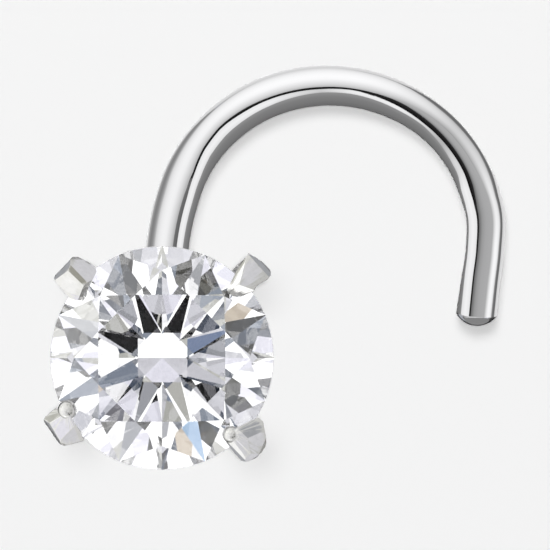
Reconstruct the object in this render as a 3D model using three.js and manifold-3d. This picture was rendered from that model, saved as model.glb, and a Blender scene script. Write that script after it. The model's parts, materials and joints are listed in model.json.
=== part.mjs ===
// A nose screw: a round brilliant-cut stone in a head with four claws, on a straight post whose lower end
// is bent square and curled into a hook. It stands on the flat hook, post upright and stone on top.
// Millimetres and degrees, +Z up. Azimuths run anticlockwise from +X, seen from above.
import * as THREE from 'three';
import { mergeVertices } from 'three/addons/utils/BufferGeometryUtils.js';
import Module from 'manifold-3d';

// Driving dimensions of the stone
const STONE_RADIUS = 1.75;
const GIRDLE_THICKNESS = 0.105;
const TABLE_CORNER_REACH = 1.075;
const CROWN_SLOPE = 34.5;
const PAVILION_SLOPE = 40.75;
const STAR_LENGTH = 0.5;
const LOWER_HALF_LENGTH = 0.77;
const GIRDLE_SIDES = 64;

// Driving dimensions of the wire that is both post and hook
const WIRE_RADIUS = 0.32;
const WIRE_SIDES = 16;
const BEND_RADIUS = 0.36;
const BEND_STEPS = 6;
const POST_LENGTH = 5.0;
const HOOK_CENTRE = { x: 2.565, y: 1.754 };
const HOOK_STEPS = 58;
const TIP_DOME_HEIGHT = 0.14;
const TIP_DOME_RIM = 0.985 * WIRE_RADIUS;
const TIP_DOME_SUNK = 0.1;
const TIP_DOME_STEPS = 4;

// The hook's centreline: how far it lies from the hook's centre at each azimuth, from the leg to the tip
const HOOK_ROUTE = [
  { azimuth: 196, reach: 2.66 },
  { azimuth: 177, reach: 2.52 },
  { azimuth: 164, reach: 2.496 },
  { azimuth: 140, reach: 2.542 },
  { azimuth: 116, reach: 2.579 },
  { azimuth: 90, reach: 2.607 },
  { azimuth: 68, reach: 2.637 },
  { azimuth: 50, reach: 2.666 },
  { azimuth: 32, reach: 2.671 },
  { azimuth: 12, reach: 2.657 },
  { azimuth: -1, reach: 2.594 },
  { azimuth: -14, reach: 2.595 },
  { azimuth: -24, reach: 2.69 },
];

// Driving dimensions of the head, from the stone's axis and the girdle's middle plane
const CLAW_END_REACH = 2.1;
const CLAW_HALF_WIDTH = 0.235;
const CLAW_FLANK = 0.37;
const CLAW_BLUNT = 0.06;
const STEM_FOOT_REACH = 0.6;
const STEM_FOOT_HALF_THICKNESS = 0.18;
const SEAT_GAP = 0.02;
const GALLERY_REACH = 1.4;
const GALLERY_DROP = 0.78;
const GALLERY_WIRE_RADIUS = 0.13;
const CUP_RIM_RADIUS = 0.74;
const CUP_RIM_DEPTH = 0.08;
const CUP_FOOT_RADIUS = 0.52;
const CUP_DROP = 1.45;
const CUP_HEIGHT = 0.35;

// Points of a claw's side view, each its reach and its height: up the outside of the stem and over the top
const CLAW_SIDE = {
  outerSwell: [1.7, -0.95],
  waist: [2.05, -0.35],
  shoulder: [CLAW_END_REACH, 0.05],
  knee: [CLAW_END_REACH, 0.36],
  crest: [1.9, 0.44],
  brow: [1.75, 0.5],
  tipTop: 0.46,
  tipEdge: 0.38,
  tipOverhang: 0.2,
  innerWaist: [1.56, -0.4],
  innerSwell: [1.2, -1],
};

// Each claw: where it stands, where its bead tip grips the crown (reach, and shift to its left as seen
// from the centre), the tip's radius, and the side on which its flank spreads (+1 anticlockwise)
const CLAWS = [
  { azimuth: 44, tipReach: 1.52, tipShift: -0.04, tipRadius: 0.15, flankSide: 0 },
  { azimuth: 138, tipReach: 1.58, tipShift: 0.09, tipRadius: 0.16, flankSide: -1 },
  { azimuth: 215, tipReach: 1.66, tipShift: -0.16, tipRadius: 0.15, flankSide: 1 },
  { azimuth: 315.3, tipReach: 1.6, tipShift: -0.08, tipRadius: 0.15, flankSide: 1 },
];

const CUP_BOTTOM_Z = 2 * WIRE_RADIUS + POST_LENGTH;
const GIRDLE_Z = CUP_BOTTOM_Z + CUP_DROP + CUP_HEIGHT;

const rad = THREE.MathUtils.degToRad;
const wasm = await Module();
wasm.setup();

function solidFrom(geometry) {
  const bare = geometry.clone();
  bare.deleteAttribute('normal');
  bare.deleteAttribute('uv');
  const merged = mergeVertices(bare);
  return new wasm.Manifold(
    new wasm.Mesh({
      numProp: 3,
      vertProperties: new Float32Array(merged.attributes.position.array),
      triVerts: new Uint32Array(merged.index.array),
    }),
  );
}

function geometryFrom(solid) {
  const mesh = solid.getMesh();
  const geometry = new THREE.BufferGeometry();
  geometry.setAttribute('position', new THREE.BufferAttribute(mesh.vertProperties, 3));
  geometry.setIndex(new THREE.BufferAttribute(mesh.triVerts, 1));
  geometry.computeVertexNormals();
  return geometry;
}

// A big block whose inner face lies on a facet's plane: the plane passes at this reach and height and
// leans by slope from level, upwards for the crown and downwards (up = -1) for the pavilion
function facetBlock({ azimuth, slope, reach, height, up }) {
  const size = 4 * STONE_RADIUS;
  const level = new THREE.Vector3(Math.cos(rad(azimuth)), Math.sin(rad(azimuth)), 0);
  const normal = level.clone().multiplyScalar(Math.sin(rad(slope)));
  normal.z = up * Math.cos(rad(slope));
  const block = new THREE.BoxGeometry(size, size, size);
  block.translate(0, 0, size / 2);
  block.applyQuaternion(new THREE.Quaternion().setFromUnitVectors(new THREE.Vector3(0, 0, 1), normal));
  block.translate(reach * level.x, reach * level.y, height);
  return solidFrom(block);
}

// The facets of a round brilliant: eight of each kind, and sixteen halves above and below the girdle
function brilliantFacets() {
  const eighth = 45;
  const half = eighth / 2;
  const quarter = eighth / 4;
  const rim = GIRDLE_THICKNESS / 2;
  const tableFlat = TABLE_CORNER_REACH * Math.cos(rad(half));
  const crownRise = Math.tan(rad(CROWN_SLOPE));
  const pavilionFall = Math.tan(rad(PAVILION_SLOPE));
  const tableHeight = rim + (STONE_RADIUS - TABLE_CORNER_REACH) * crownRise;
  const starReach = tableFlat + STAR_LENGTH * (STONE_RADIUS - tableFlat);
  const starHeight = rim + (STONE_RADIUS - starReach * Math.cos(rad(half))) * crownRise;
  const starSlope = THREE.MathUtils.radToDeg(Math.atan2(tableHeight - starHeight, starReach - tableFlat));
  const halfReach = STONE_RADIUS * Math.cos(rad(quarter));
  const upperRun = halfReach - starReach * Math.cos(rad(quarter));
  const upperSlope = THREE.MathUtils.radToDeg(Math.atan2(starHeight - rim, upperRun));
  const cleft = (1 - LOWER_HALF_LENGTH) * STONE_RADIUS;
  const cleftDepth = (STONE_RADIUS - cleft * Math.cos(rad(half))) * pavilionFall;
  const lowerRun = halfReach - cleft * Math.cos(rad(quarter));
  const lowerSlope = THREE.MathUtils.radToDeg(Math.atan2(cleftDepth, lowerRun));
  const facets = [{ azimuth: 0, slope: 0, reach: 0, height: tableHeight, up: 1 }];
  for (let k = 0; k < 8; k += 1) {
    const star = k * eighth;
    const kite = star + half;
    facets.push({ azimuth: star, slope: starSlope, reach: tableFlat, height: tableHeight, up: 1 });
    facets.push({ azimuth: kite, slope: CROWN_SLOPE, reach: STONE_RADIUS, height: rim, up: 1 });
    facets.push({ azimuth: kite, slope: PAVILION_SLOPE, reach: STONE_RADIUS, height: -rim, up: -1 });
    for (const side of [-quarter, quarter]) {
      const azimuth = star + side;
      facets.push({ azimuth, slope: upperSlope, reach: halfReach, height: rim, up: 1 });
      facets.push({ azimuth, slope: lowerSlope, reach: halfReach, height: -rim, up: -1 });
    }
  }
  return facets;
}

function stoneSolid() {
  const blank = new THREE.CylinderGeometry(STONE_RADIUS, STONE_RADIUS, 2 * STONE_RADIUS, GIRDLE_SIDES);
  blank.rotateX(Math.PI / 2);
  return brilliantFacets().reduce((cut, facet) => cut.subtract(facetBlock(facet)), solidFrom(blank));
}

// The stone a little larger, which cuts the claws' seats and leaves the seat gap
function seatCutter(stone) {
  const cutter = geometryFrom(stone);
  const grown = 1 + SEAT_GAP / (STONE_RADIUS * Math.sin(rad(CROWN_SLOPE)));
  cutter.scale(grown, grown, grown);
  return solidFrom(cutter);
}

function hookPoint({ azimuth, reach }) {
  const x = HOOK_CENTRE.x + reach * Math.cos(rad(azimuth));
  const y = HOOK_CENTRE.y + reach * Math.sin(rad(azimuth));
  return new THREE.Vector3(x, y, WIRE_RADIUS);
}

// The wire's centreline: down the post, round the square bend, up the leg and round the hook
function wireStations() {
  const bendZ = WIRE_RADIUS + BEND_RADIUS;
  const stations = [CUP_BOTTOM_Z + CUP_HEIGHT / 2, CUP_BOTTOM_Z / 2, bendZ + BEND_RADIUS / 2].map(
    (z) => new THREE.Vector3(0, 0, z),
  );
  for (let k = 0; k <= BEND_STEPS; k += 1) {
    const turn = rad((90 * k) / BEND_STEPS);
    const y = BEND_RADIUS * (1 - Math.cos(turn));
    stations.push(new THREE.Vector3(0, y, bendZ - BEND_RADIUS * Math.sin(turn)));
  }
  const legEnd = new THREE.Vector3(0, 2 * BEND_RADIUS, WIRE_RADIUS);
  const hook = new THREE.CatmullRomCurve3([legEnd, ...HOOK_ROUTE.map(hookPoint)]);
  return [...stations, ...hook.getSpacedPoints(HOOK_STEPS)];
}

// The wire is one round section carried along its stations, with a flat side down on the floor
function wireSolid() {
  const stations = wireStations();
  const route = new THREE.CatmullRomCurve3(stations);
  route.getUtoTmapping = (u) => u;
  const corner = WIRE_RADIUS / Math.cos(Math.PI / WIRE_SIDES);
  const section = new THREE.Shape(
    Array.from({ length: WIRE_SIDES }, (_, k) => {
      const turn = ((k + 0.5) * 2 * Math.PI) / WIRE_SIDES;
      return new THREE.Vector2(corner * Math.cos(turn), corner * Math.sin(turn));
    }),
  );
  const wire = new THREE.ExtrudeGeometry(section, { steps: stations.length - 1, extrudePath: route });
  return solidFrom(wire).add(tipDome(route));
}

// The hook's cut end is filed to a low dome
function tipDome(route) {
  const profile = [new THREE.Vector2(0, -TIP_DOME_SUNK), new THREE.Vector2(TIP_DOME_RIM, -TIP_DOME_SUNK)];
  for (let k = 0; k < TIP_DOME_STEPS; k += 1) {
    const turn = rad((90 * k) / TIP_DOME_STEPS);
    profile.push(new THREE.Vector2(TIP_DOME_RIM * Math.cos(turn), TIP_DOME_HEIGHT * Math.sin(turn)));
  }
  profile.push(new THREE.Vector2(0, TIP_DOME_HEIGHT));
  const dome = new THREE.LatheGeometry(profile, WIRE_SIDES);
  const ahead = route.getTangentAt(1);
  dome.applyQuaternion(new THREE.Quaternion().setFromUnitVectors(new THREE.Vector3(0, 1, 0), ahead));
  const end = route.getPointAt(1);
  dome.translate(end.x, end.y, end.z);
  return solidFrom(dome);
}

// A claw's side view, outwards along x and up along y: the flaring stem and the tip bent over the crown
function clawSideView(tipReach) {
  const footZ = -CUP_DROP - CUP_HEIGHT / 2;
  const innerFoot = STEM_FOOT_REACH - STEM_FOOT_HALF_THICKNESS;
  const tipInside = tipReach - CLAW_SIDE.tipOverhang;
  const side = new THREE.Shape();
  side.moveTo(innerFoot, footZ);
  side.lineTo(STEM_FOOT_REACH + STEM_FOOT_HALF_THICKNESS, footZ);
  side.quadraticCurveTo(...CLAW_SIDE.outerSwell, ...CLAW_SIDE.waist);
  side.lineTo(...CLAW_SIDE.shoulder);
  side.quadraticCurveTo(...CLAW_SIDE.knee, ...CLAW_SIDE.crest);
  side.quadraticCurveTo(...CLAW_SIDE.brow, tipReach, CLAW_SIDE.tipTop);
  side.lineTo(tipInside, CLAW_SIDE.tipEdge);
  side.lineTo(tipInside, 0);
  side.lineTo(...CLAW_SIDE.innerWaist);
  side.quadraticCurveTo(...CLAW_SIDE.innerSwell, innerFoot, footZ);
  return side;
}

// A claw's plan, outwards along x and anticlockwise along y: a blunt outer end and a flank that spreads
// to one side over the stone's rim
function clawPlan(left, right) {
  const plan = new THREE.Shape();
  plan.moveTo(0, -right);
  plan.lineTo(STONE_RADIUS, -right);
  plan.lineTo(CLAW_END_REACH - CLAW_BLUNT, -CLAW_HALF_WIDTH);
  plan.lineTo(CLAW_END_REACH + CLAW_BLUNT, -CLAW_HALF_WIDTH + 2 * CLAW_BLUNT);
  plan.lineTo(CLAW_END_REACH + CLAW_BLUNT, CLAW_HALF_WIDTH - 2 * CLAW_BLUNT);
  plan.lineTo(CLAW_END_REACH - CLAW_BLUNT, CLAW_HALF_WIDTH);
  plan.lineTo(STONE_RADIUS, left);
  plan.lineTo(0, left);
  return plan;
}

// The plan of the part above the girdle, which narrows from the stone's rim to the round bead tip
function nosePlan({ tipReach, tipShift, tipRadius }, left, right) {
  const rim = STONE_RADIUS + CLAW_BLUNT;
  const beyond = 2 * STONE_RADIUS;
  const nose = new THREE.Shape();
  nose.moveTo(rim, -right);
  nose.lineTo(beyond, -right);
  nose.lineTo(beyond, left);
  nose.lineTo(rim, left);
  nose.lineTo(tipReach, tipShift + tipRadius);
  nose.absarc(tipReach, tipShift, tipRadius, Math.PI / 2, (3 * Math.PI) / 2, false);
  return nose;
}

function upright(shape, low, high) {
  const options = { depth: high - low, bevelEnabled: false, curveSegments: 8 };
  const block = new THREE.ExtrudeGeometry(shape, options);
  block.translate(0, 0, low);
  return solidFrom(block);
}

// One claw: its side view given width and trimmed to its plan, and above the girdle to its nose
function clawSolid(claw) {
  const left = claw.flankSide > 0 ? CLAW_FLANK : CLAW_HALF_WIDTH;
  const right = claw.flankSide < 0 ? CLAW_FLANK : CLAW_HALF_WIDTH;
  const width = 2 * CLAW_FLANK;
  const options = { depth: width, bevelEnabled: false, curveSegments: 5 };
  const slab = new THREE.ExtrudeGeometry(clawSideView(claw.tipReach), options);
  slab.translate(0, 0, -width / 2);
  slab.rotateX(Math.PI / 2);
  const high = 2 * STONE_RADIUS;
  const trimmed = solidFrom(slab).intersect(upright(clawPlan(left, right), -high, high));
  const stem = trimmed.intersect(upright(clawPlan(left, right), -high, 0));
  const tip = trimmed.intersect(upright(nosePlan(claw, left, right), -GIRDLE_THICKNESS / 4, high));
  const turned = geometryFrom(stem.add(tip));
  turned.rotateZ(rad(claw.azimuth));
  return solidFrom(turned);
}

// The wire ring that ties the four stems together under the stone
function gallerySolid() {
  const ring = new THREE.TorusGeometry(GALLERY_REACH, GALLERY_WIRE_RADIUS, 10, 40);
  ring.translate(0, 0, -GALLERY_DROP);
  return solidFrom(ring);
}

// The small cup at the head's foot, into which the post is soldered
function cupSolid() {
  const foot = -CUP_DROP - CUP_HEIGHT;
  const outline = [
    [0, foot],
    [CUP_FOOT_RADIUS, foot],
    [CUP_RIM_RADIUS, -CUP_DROP - CUP_RIM_DEPTH],
    [CUP_RIM_RADIUS, -CUP_DROP],
    [0, -CUP_DROP],
  ].map(([x, y]) => new THREE.Vector2(x, y));
  const cup = new THREE.LatheGeometry(outline, 32);
  cup.rotateX(Math.PI / 2);
  return solidFrom(cup);
}

function headSolid(stone) {
  const metal = CLAWS.reduce((sum, claw) => sum.add(clawSolid(claw)), cupSolid().add(gallerySolid()));
  return metal.subtract(seatCutter(stone));
}

function lifted(solid, z) {
  const geometry = geometryFrom(solid);
  geometry.translate(0, 0, z);
  return geometry;
}

const polishedWhiteGold = new THREE.MeshStandardMaterial({ color: 0xd8d9da, roughness: 0.12, metalness: 1 });
const cutStone = new THREE.MeshStandardMaterial({ color: 0xf0f2fa, roughness: 0.02, metalness: 0 });

const stoneCut = stoneSolid();
const stone = new THREE.Mesh(lifted(stoneCut, GIRDLE_Z), cutStone);
stone.name = 'stone';
const metalSolid = wireSolid().add(solidFrom(lifted(headSolid(stoneCut), GIRDLE_Z)));
const metal = new THREE.Mesh(geometryFrom(metalSolid), polishedWhiteGold);
metal.name = 'setting_and_screw_post';

const noseRing = new THREE.Group();
noseRing.add(stone, metal);
const box = new THREE.Box3().setFromObject(noseRing);
const middle = box.getCenter(new THREE.Vector3());
noseRing.position.set(-middle.x, -middle.y, -box.min.z);

export default noseRing;
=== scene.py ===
import json
import math

import bmesh
import bpy
from mathutils import Matrix, Vector

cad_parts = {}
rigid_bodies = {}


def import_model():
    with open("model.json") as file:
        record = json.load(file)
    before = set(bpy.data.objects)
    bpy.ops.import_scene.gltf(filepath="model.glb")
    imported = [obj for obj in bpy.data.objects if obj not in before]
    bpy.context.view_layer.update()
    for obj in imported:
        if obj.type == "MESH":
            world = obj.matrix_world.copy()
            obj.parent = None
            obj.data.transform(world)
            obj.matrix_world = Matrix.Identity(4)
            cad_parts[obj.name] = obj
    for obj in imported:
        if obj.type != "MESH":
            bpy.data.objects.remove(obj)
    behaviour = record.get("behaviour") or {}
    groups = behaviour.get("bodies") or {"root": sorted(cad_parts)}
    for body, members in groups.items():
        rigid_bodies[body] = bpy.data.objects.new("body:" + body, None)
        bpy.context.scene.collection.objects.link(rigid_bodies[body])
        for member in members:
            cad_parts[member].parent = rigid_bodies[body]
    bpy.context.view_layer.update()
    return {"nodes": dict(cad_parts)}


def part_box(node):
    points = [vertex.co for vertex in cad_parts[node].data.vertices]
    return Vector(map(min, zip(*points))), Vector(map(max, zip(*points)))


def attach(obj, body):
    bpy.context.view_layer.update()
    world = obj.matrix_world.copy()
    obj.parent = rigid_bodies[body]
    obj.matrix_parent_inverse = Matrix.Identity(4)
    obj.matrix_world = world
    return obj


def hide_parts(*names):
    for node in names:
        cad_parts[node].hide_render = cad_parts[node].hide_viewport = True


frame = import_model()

bl_info = {
    "name": "Nose screw ring",
    "version": (1, 0, 0),
    "blender": (4, 5, 0),
    "location": "3D view > Sidebar > Nose screw",
    "description": "Dresses the nose screw: polished wire, claw head and brilliant, on a pale stage",
    "category": "Add Mesh",
}

# Lengths in this file are millimetres in the part's frame, and meshes are written in metres.
MM = 0.001
STONE_LOW, STONE_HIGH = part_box("stone")

# The post's axis and the girdle's middle plane, read from the solid stone
CROWN_HEIGHT = 0.5164
STONE_RADIUS = (STONE_HIGH.x - STONE_LOW.x) / 2 / MM
POST_X = (STONE_LOW.x + STONE_HIGH.x) / 2 / MM
POST_Y = (STONE_LOW.y + STONE_HIGH.y) / 2 / MM
GIRDLE_Z = STONE_HIGH.z / MM - CROWN_HEIGHT
CUP_FOOT_Z = GIRDLE_Z - 1.8
POST_RADIUS = 0.32
BEND_RADIUS = 0.36
HEAD = Vector((POST_X, POST_Y, GIRDLE_Z))

# The notch that the stone sits in: half its height at the girdle, and how its two sides slope away from it
# along the facets above and below
NOTCH_HALF = 0.066
NOTCH_RISE = 0.894
NOTCH_FALL = -0.881

# The stone's ground rim: half its height, and where it begins as a share of the stone's radius
RIM_HALF = 0.051
RIM_STARTS = 0.995

# Where the camera and the lamps hang, the camera's lens and the window's width
CAMERA = HEAD + Vector((1.77, 1.30, 232))
LENS_MM = 969.7
FILL_FROM = Vector((-4, 8, 190))
WINDOW_FROM = Vector((-10, 80, 184))
WINDOW_WIDTH = 81

# The hook, from the leg to the tip: azimuth in degrees about the hook's centre, how far the wire's middle
# lies from that centre, and the wire's own radius, which bending and polishing left uneven
HOOK_X, HOOK_Y = POST_X + 2.565, POST_Y + 1.754
HOOK_ROUTE = (
    (196, 2.660, 0.342),
    (177, 2.520, 0.345),
    (164, 2.496, 0.347),
    (152, 2.520, 0.345),
    (140, 2.542, 0.340),
    (116, 2.579, 0.333),
    (90, 2.607, 0.320),
    (68, 2.637, 0.311),
    (50, 2.666, 0.302),
    (32, 2.671, 0.304),
    (20, 2.660, 0.318),
    (12, 2.657, 0.312),
    (-1, 2.594, 0.307),
    (-14, 2.595, 0.316),
    (-24, 2.690, 0.326),
)
# The tip's cut is turned a little aside and leans back, and the hook's shade starts this far past the post.
TIP_ASIDE = 0.05
TIP_LEAN = -0.12
HOOK_SHADE_FROM = 0.6

# Tones of the panels and cards round the head: a colour and how bright it is
WHITE = ("#FFFFFF", 1.6)
SOFT_WHITE = ("#FDFDFF", 1.22)
LAVENDER = ("#F4F3FF", 1.12)
PALE = ("#F7F7FF", 0.84)
WARM = ("#FFFFF8", 0.62)
GREY = ("#F3F6FF", 0.50)
ASH = ("#FFFDF2", 0.42)
STEEL = ("#D7E6FF", 0.38)
BLUE = ("#BFD4FF", 0.50)
SKY_BLUE = ("#B6DAFF", 0.85)
TAN = ("#FFECD2", 0.62)
SLATE = ("#C7DBFF", 0.14)
BLACK = ("#FFFFFF", 0.0)

# The claws, each in its own frame: u outwards from the stone's axis, v anticlockwise, z from the girdle.
# outline is its plan; cuts are the filed faces, each a point (u, v, z), the rise per unit of u and v, and
# the tone of the card that it mirrors upwards. bead is a rounded end: its u, v, radius and top.
CLAWS = (
    {
        "name": "claw_top_left",
        "azimuth": 138,
        "outline": (
            (2.06, 0.22), (2.094, 0.196), (2.106, 0.15), (2.098, -0.243), (2.036, -0.298),
            (1.926, -0.329), (1.683, -0.388), (1.582, -0.031), (1.503, 0.11), (1.519, 0.157),
            (1.597, 0.219), (1.691, 0.266),
        ),
        "cuts": (
            (1.80, -0.03, 0.43, -0.22, -0.30, SOFT_WHITE),
            (1.80, -0.03, 0.43, -0.20, 0.55, ASH),
            (1.80, -0.10, 0.40, -0.15, 1.25, PALE),
            (1.60, 0.10, 0.40, 1.7, 0.4, SLATE),
            (2.06, 0.0, 0.30, -1.6, 0.0, GREY),
        ),
        "bead": None,
    },
    {
        "name": "claw_top_right",
        "azimuth": 44,
        "outline": (
            (2.114, 0.235), (2.15, 0.12), (2.177, -0.031), (2.178, -0.17), (2.161, -0.219),
            (2.12, -0.25), (2.051, -0.266), (1.864, -0.219), (1.754, -0.243), (1.566, -0.172),
            (1.50, -0.12), (1.456, -0.047), (1.455, 0.02), (1.472, 0.063), (1.574, 0.094),
            (1.77, 0.164), (2.051, 0.227),
        ),
        "cuts": (
            (1.86, 0.0, 0.45, -0.10, 0.05, PALE),
            (1.86, 0.11, 0.45, 0.28, -0.56, WHITE),
            (1.66, -0.045, 0.45, 0.66, 0.43, WHITE),
            (2.12, 0.0, 0.38, -1.8, 0.1, GREY),
        ),
        "bead": None,
    },
    {
        "name": "claw_low_left",
        "azimuth": 215,
        "outline": (
            (1.83, -0.31), (2.02, -0.298), (2.07, -0.27), (2.083, -0.235), (2.083, -0.078),
            (2.09, 0.078), (2.083, 0.18), (2.036, 0.25), (1.918, 0.298), (1.738, 0.36),
            (1.70, 0.20), (1.70, 0.0), (1.66, -0.2),
        ),
        "cuts": (
            (1.78, -0.05, 0.36, -0.42, -0.12, LAVENDER),
            (1.78, 0.10, 0.34, -0.30, -0.75, PALE),
            (1.78, -0.20, 0.34, -0.35, 0.75, WARM),
            (2.05, 0.0, 0.22, -2.0, 0.0, GREY),
        ),
        "bead": (1.679, -0.182, 0.150, 0.43),
    },
    {
        "name": "claw_low_right",
        "azimuth": 315.3,
        "outline": (
            (1.597, -0.219), (1.77, -0.25), (2.004, -0.266), (2.06, -0.24), (2.098, -0.196),
            (2.145, -0.078), (2.148, 0.05), (2.13, 0.141), (2.10, 0.20), (2.051, 0.25),
            (1.848, 0.392), (1.754, 0.438), (1.68, 0.30), (1.60, 0.05), (1.56, -0.1),
        ),
        "cuts": (
            (1.80, 0.0, 0.42, -0.12, 0.18, PALE),
            (1.80, -0.14, 0.40, -0.05, 0.80, SOFT_WHITE),
            (1.80, -0.212, 0.345, 0.0, 3.0, GREY),
            (1.86, 0.06, 0.42, -0.10, -0.75, GREY),
            (1.90, 0.24, 0.285, -0.60, -0.55, PALE),
            (2.05, 0.0, 0.385, -1.2, 0.30, PALE),
        ),
        "bead": (1.605, -0.086, 0.136, 0.46),
    },
)
# File marks fan from the bead, or on a claw without one from a point this far from the stone's axis.
FAN_REACH = 1.3

# Under the claws, each as its reach from the stone's axis and its height from the girdle: both sides of a
# claw's stem, the cup, the solder fillet round the post, and the middle of the gallery ring's wire
STEM_OUTSIDE = ((0.80, -1.62), (1.28, -1.16), (1.66, -0.80), (1.92, -0.46), (2.04, -0.12), (2.07, 0.12))
STEM_INSIDE = ((0.44, -1.62), (0.86, -1.24), (1.18, -0.94), (1.42, -0.62), (1.56, -0.3), (1.60, 0.12))
CUP = (
    (0.30, -1.80), (0.50, -1.80), (0.54, -1.785), (0.60, -1.74), (0.70, -1.60), (0.735, -1.53),
    (0.74, -1.50), (0.735, -1.46), (0.71, -1.45), (0.60, -1.455), (0.40, -1.60), (0.20, -1.66),
    (0.05, -1.68),
)
SOLDER = ((0.30, -1.76), (0.42, -1.795), (0.37, -1.81), (0.335, -1.85), (0.322, -1.93), (0.30, -1.94))
GALLERY_REACH = 1.4
GALLERY_HEIGHT = -0.78

# Cards over the wire. Each row says where a card's two long edges show across the wire from above, as a
# share of the wire's radius, inside negative, at an azimuth round the hook, and for some how far the card
# is dimmed there. glow is how bright the card is, from its inner edge to its outer one.
WIRE_CARDS = {
    "grey_card_inside": {
        "rows": (
            (197, -1.0, -0.74), (160, -1.0, -0.72), (150, -1.0, -0.68), (140, -1.0, -0.55),
            (130, -1.0, -0.46), (110, -1.0, -0.44), (90, -1.0, -0.36), (78, -1.0, -0.36),
            (60, -1.0, -0.46), (50, -1.0, -0.47), (42, -1.0, -0.56), (32, -1.0, -0.73),
            (24, -1.0, -0.85), (8, -1.0, -0.92), (-8, -1.0, -0.88), (-26, -1.0, -0.76),
        ),
        "glow": (0.17, 0.23, 0.26, 0.36),
    },
    "white_card_inside": {
        "rows": (
            (197, -0.74, -0.45, 1.0), (160, -0.72, -0.43, 1.0), (150, -0.68, -0.36, 1.0),
            (140, -0.55, -0.17, 1.0), (130, -0.46, -0.06, 1.0), (120, -0.45, -0.13, 1.0),
            (110, -0.44, -0.15, 1.0), (90, -0.36, -0.19, 0.7), (78, -0.36, -0.16, 1.0),
            (60, -0.46, -0.28, 1.0), (50, -0.47, -0.36, 0.8), (42, -0.56, -0.36, 0.5),
            (32, -0.73, -0.38, 0.9), (24, -0.85, -0.44, 1.0), (8, -0.92, -0.48, 1.0),
            (-8, -0.88, -0.46, 1.0), (-26, -0.76, -0.36, 1.0),
        ),
        "glow": (0.95, 1.12, 1.0),
    },
    "grey_flag_on_the_leg": {
        "rows": ((197, -0.45, -0.26), (160, -0.43, -0.26), (150, -0.36, -0.30), (147, -0.34, -0.33)),
        "glow": (0.15, 0.20),
    },
    "black_flag": {
        "rows": (
            (152, -0.33, -0.30), (148, -0.32, -0.22), (140, -0.17, -0.06), (130, -0.06, 0.05),
            (120, -0.13, 0.01), (110, -0.15, -0.04), (90, -0.19, -0.08), (78, -0.16, -0.07),
            (70, -0.24, -0.06), (60, -0.28, -0.05), (50, -0.36, -0.12), (42, -0.36, -0.14),
            (32, -0.38, -0.17), (24, -0.44, -0.22), (16, -0.46, -0.31), (8, -0.48, -0.38),
            (-8, -0.46, -0.38), (-26, -0.36, -0.28),
        ),
        "glow": (0.0, 0.03),
    },
    "white_card_over": {
        "rows": (
            (197, -0.26, 0.58, 0.91), (160, -0.26, 0.62, 0.91), (150, -0.24, 0.67, 0.91),
            (140, -0.06, 0.73, 0.93), (130, 0.05, 0.80, 0.95), (120, 0.01, 0.84, 0.98),
            (110, -0.04, 0.85, 1.0), (90, -0.08, 0.86, 1.0), (78, -0.07, 0.85, 1.0),
            (66, -0.03, 0.84, 0.94), (58, 0.06, 0.80, 0.85), (50, 0.14, 0.76, 0.76),
            (42, 0.20, 0.79, 0.64), (32, 0.22, 0.82, 0.70), (24, 0.28, 0.75, 0.80),
            (16, 0.33, 0.69, 0.86), (8, 0.34, 0.72, 0.90), (0, 0.34, 0.70, 0.96), (-26, 0.38, 0.72, 0.94),
        ),
        "glow": (0.60, 0.86, 1.04, 1.20, 1.24, 1.20, 1.10, 0.86),
    },
    "grey_card_over": {
        "rows": (
            (70, -0.05, -0.04), (58, -0.06, 0.06), (50, -0.12, 0.14), (42, -0.14, 0.20),
            (32, -0.17, 0.22), (24, -0.22, 0.28), (16, -0.31, 0.33), (8, -0.38, 0.34),
            (-8, -0.38, 0.34), (-26, -0.28, 0.38),
        ),
        "glow": (0.16, 0.40, 0.48, 0.50, 0.52),
    },
    "grey_card_outside_leg": {
        "rows": (
            (197, 0.58, 0.92), (160, 0.62, 0.92), (150, 0.67, 0.92), (140, 0.73, 0.93), (128, 0.81, 0.90),
        ),
        "glow": (0.62, 0.34, 0.26, 0.46),
    },
    "grey_card_outside_tip": {
        "rows": (
            (66, 0.87, 0.90), (58, 0.80, 0.94), (50, 0.74, 0.94), (42, 0.75, 0.97), (32, 0.80, 0.96),
            (24, 0.75, 0.93), (16, 0.69, 0.84), (8, 0.72, 0.85), (-8, 0.70, 0.85), (-26, 0.72, 0.88),
        ),
        "glow": (0.40, 0.16, 0.22),
    },
    "pale_card_outside": {
        "rows": (
            (197, 0.92, 1.0), (140, 0.93, 1.0), (128, 0.86, 1.0), (110, 0.85, 1.0), (66, 0.86, 1.0),
            (50, 0.94, 1.0), (42, 0.97, 1.0), (32, 0.96, 1.0), (24, 0.93, 1.0), (16, 0.84, 1.0),
            (-26, 0.86, 1.0),
        ),
        "glow": (0.78, 0.90),
    },
}
# How far those cards hang from the wire's middle
CARD_REACH = 1.3

# The domes of panels round the head: their reach, a panel's height and width in degrees, how far each ring
# is turned past the one above so that the gaps don't line up, and each dome's lowest elevation
DOME_REACH = 900
PANEL_RISE = 5
PANEL_SWING = 6
PANEL_TURN = 17
METAL_LOWEST = -60
STONE_LOWEST = -90

# The stone's dome: the ceiling's tones, how many tones on the next panel is down a ring and along it, the
# ceiling's lowest elevation, the floor's highest, and the tone of the dark room between them
PANELS = (WHITE, SLATE, WHITE, PALE, WHITE, WARM, SOFT_WHITE, STEEL, LAVENDER, BLACK)
TONES_DOWN = 9
TONES_ALONG = 7
CEILING_LOWEST = 20
FLOOR_HIGHEST = -35
ROOM = ("#FFFFFF", 0.06)

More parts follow.
